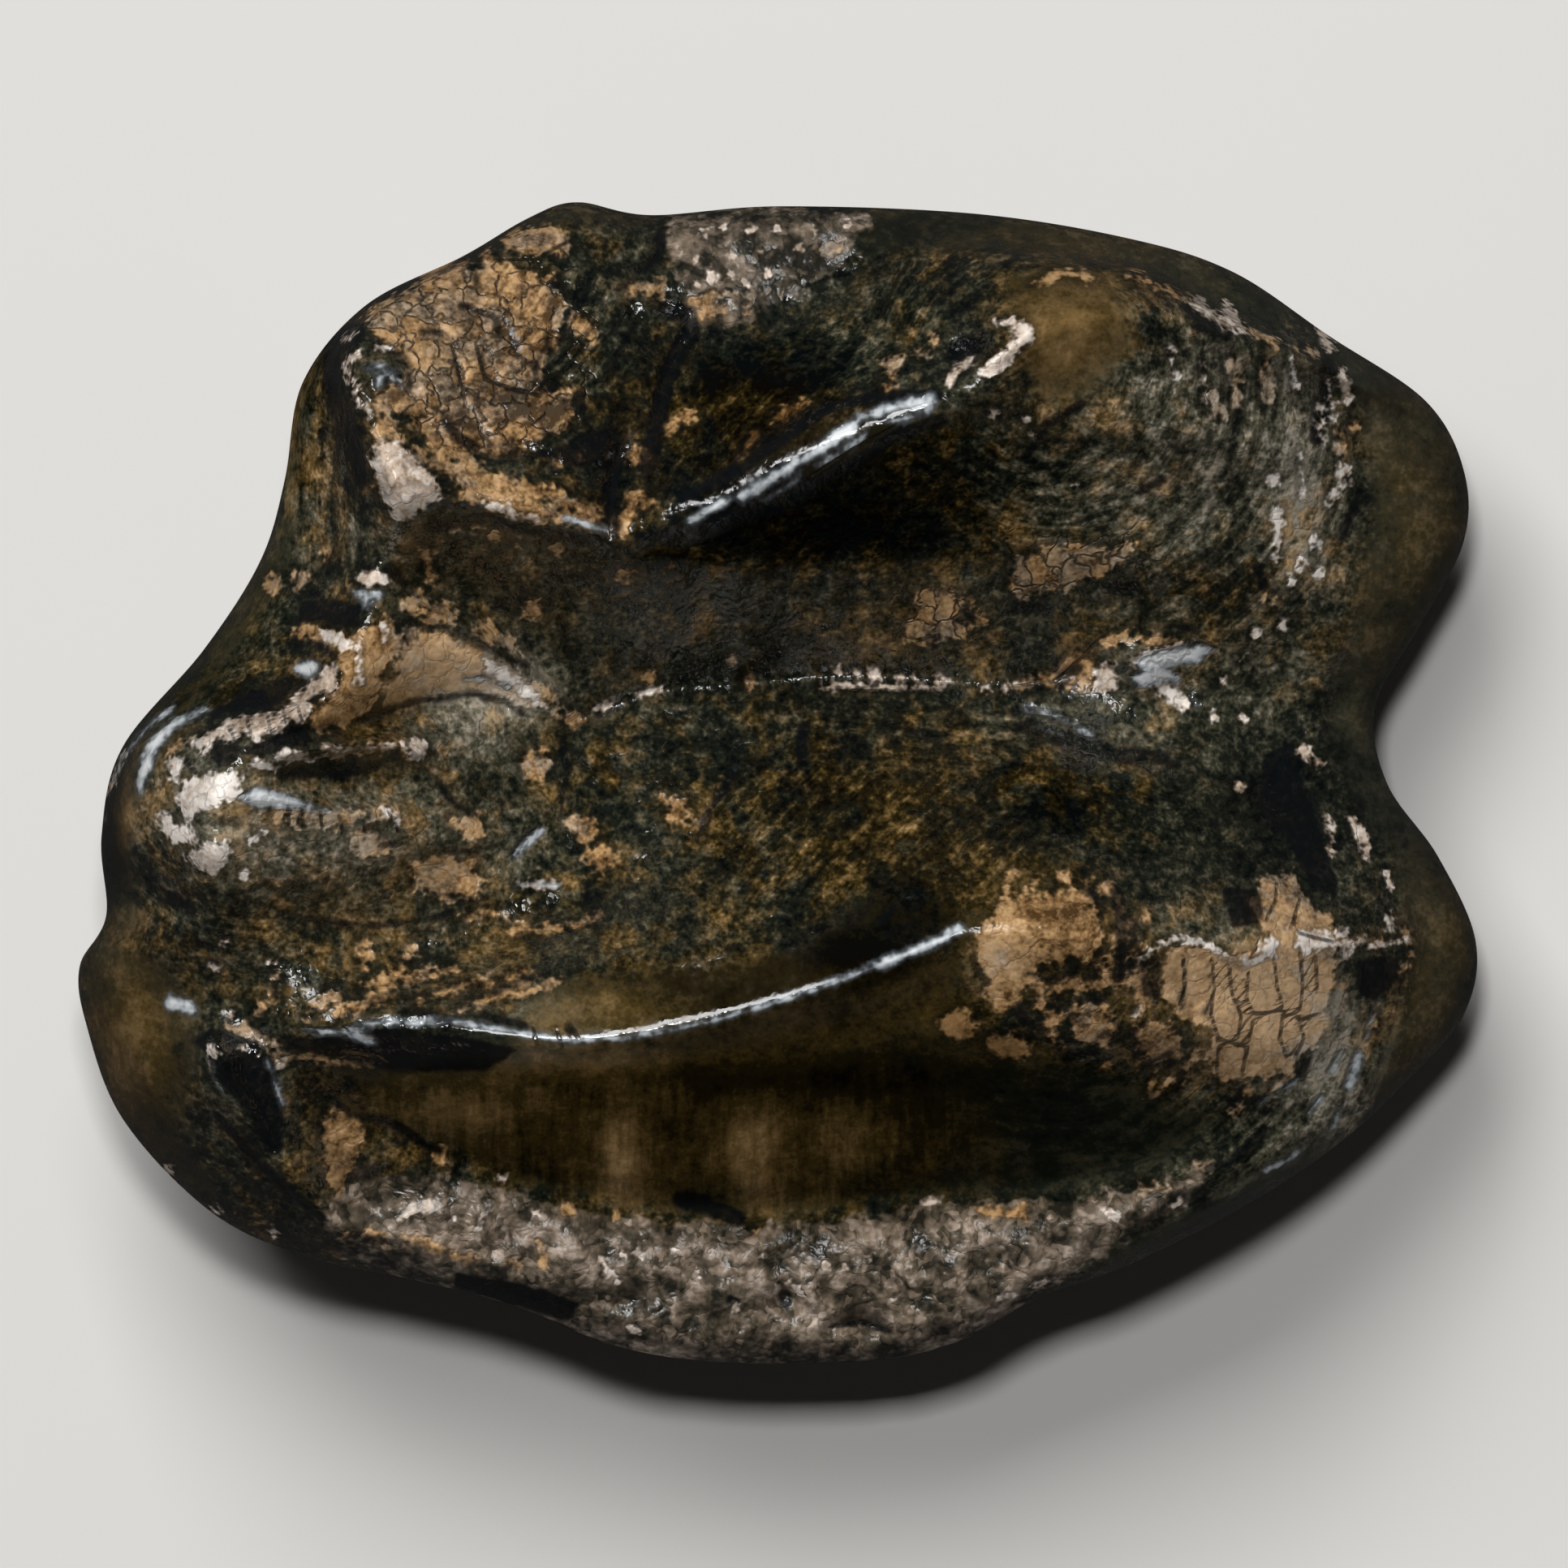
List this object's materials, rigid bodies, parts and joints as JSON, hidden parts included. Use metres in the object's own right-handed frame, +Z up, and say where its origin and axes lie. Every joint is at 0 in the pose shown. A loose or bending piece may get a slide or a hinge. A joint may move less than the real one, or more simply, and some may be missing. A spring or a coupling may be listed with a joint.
{
  "type": "fossil tooth",
  "caption": "Upper cheek tooth of a fossil tapir with cross crests, an outer wall of pointed cusps, rough ledges and worn root stubs.",
  "frame": {"origin": "centre of the box round the tooth, on the plane of the worn root ends", "axes": "+Z up, out of the biting face; +X towards the tongue side, away from the outer wall of cusps; +Y towards the rear of the tooth"},
  "size_m": [0.028, 0.0232, 0.0189],
  "materials": {
    "fossil_enamel": "polished dark brown and black mineralised enamel mottled with tan, rough on the ledges"
  },
  "bodies": {
    "root": {"tapir_tooth": "fossil_enamel"}
  },
  "joints": []
}
